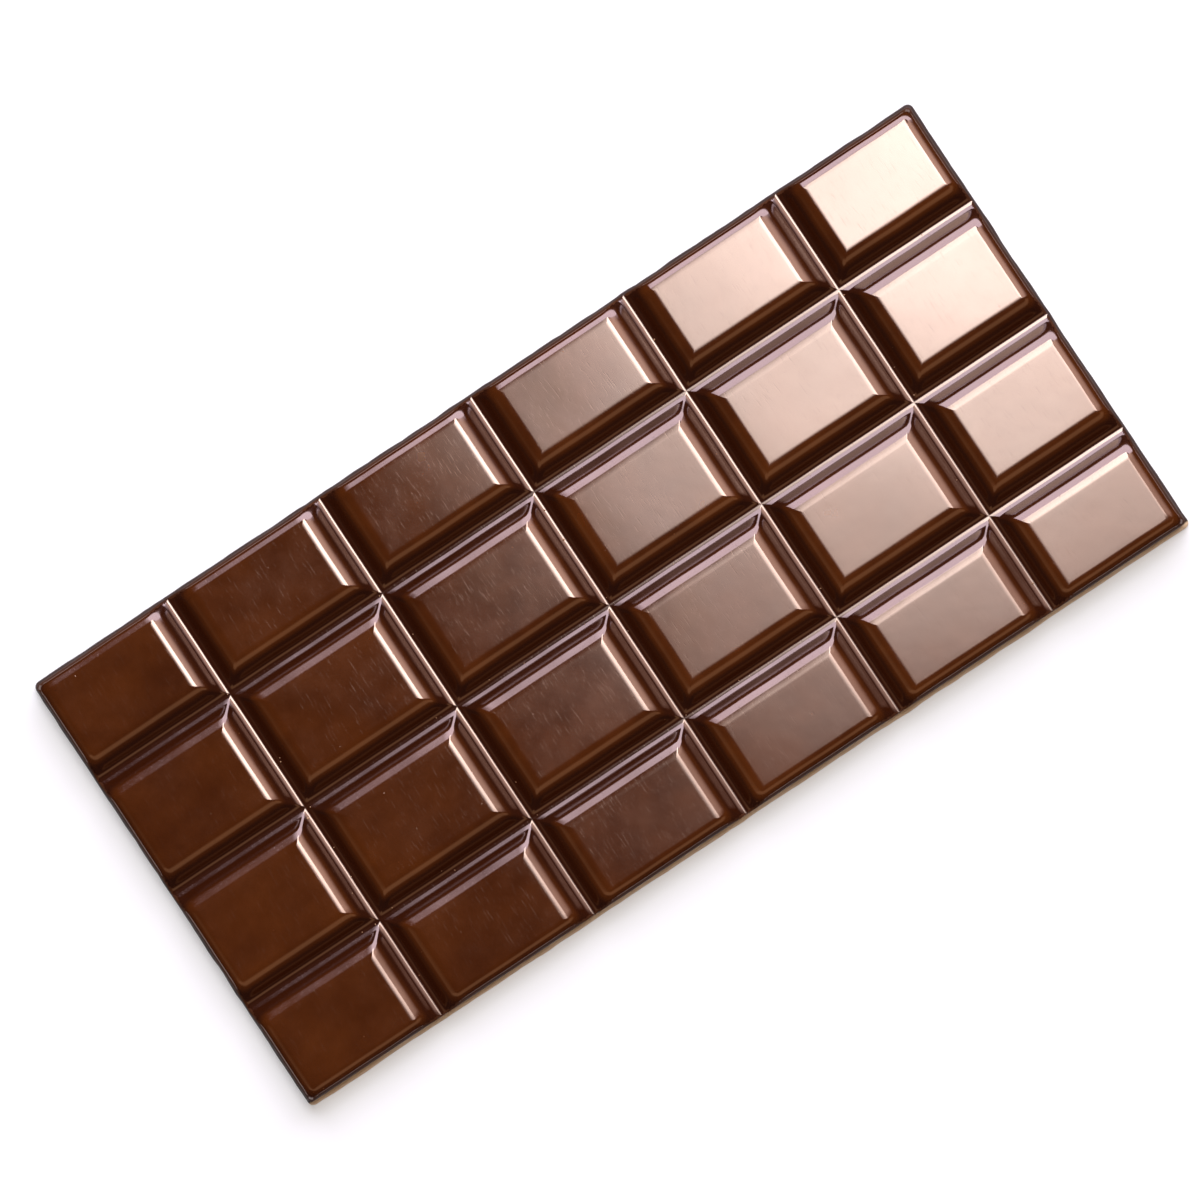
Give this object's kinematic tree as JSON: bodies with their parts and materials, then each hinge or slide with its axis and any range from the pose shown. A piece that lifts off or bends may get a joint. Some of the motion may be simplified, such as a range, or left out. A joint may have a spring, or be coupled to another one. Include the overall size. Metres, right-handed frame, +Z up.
{
  "type": "chocolate bar",
  "caption": "Moulded chocolate bar with pillow-topped segments divided by rounded snap grooves and a flat underside.",
  "frame": {"origin": "middle of the flat underside", "axes": "+X along the bar's length, +Y across its width, +Z up out of the moulded face"},
  "size_m": [0.16, 0.077, 0.007],
  "materials": {
    "chocolate": "satin, moulded"
  },
  "bodies": {
    "root": {"chocolate_bar": "chocolate"}
  },
  "joints": []
}
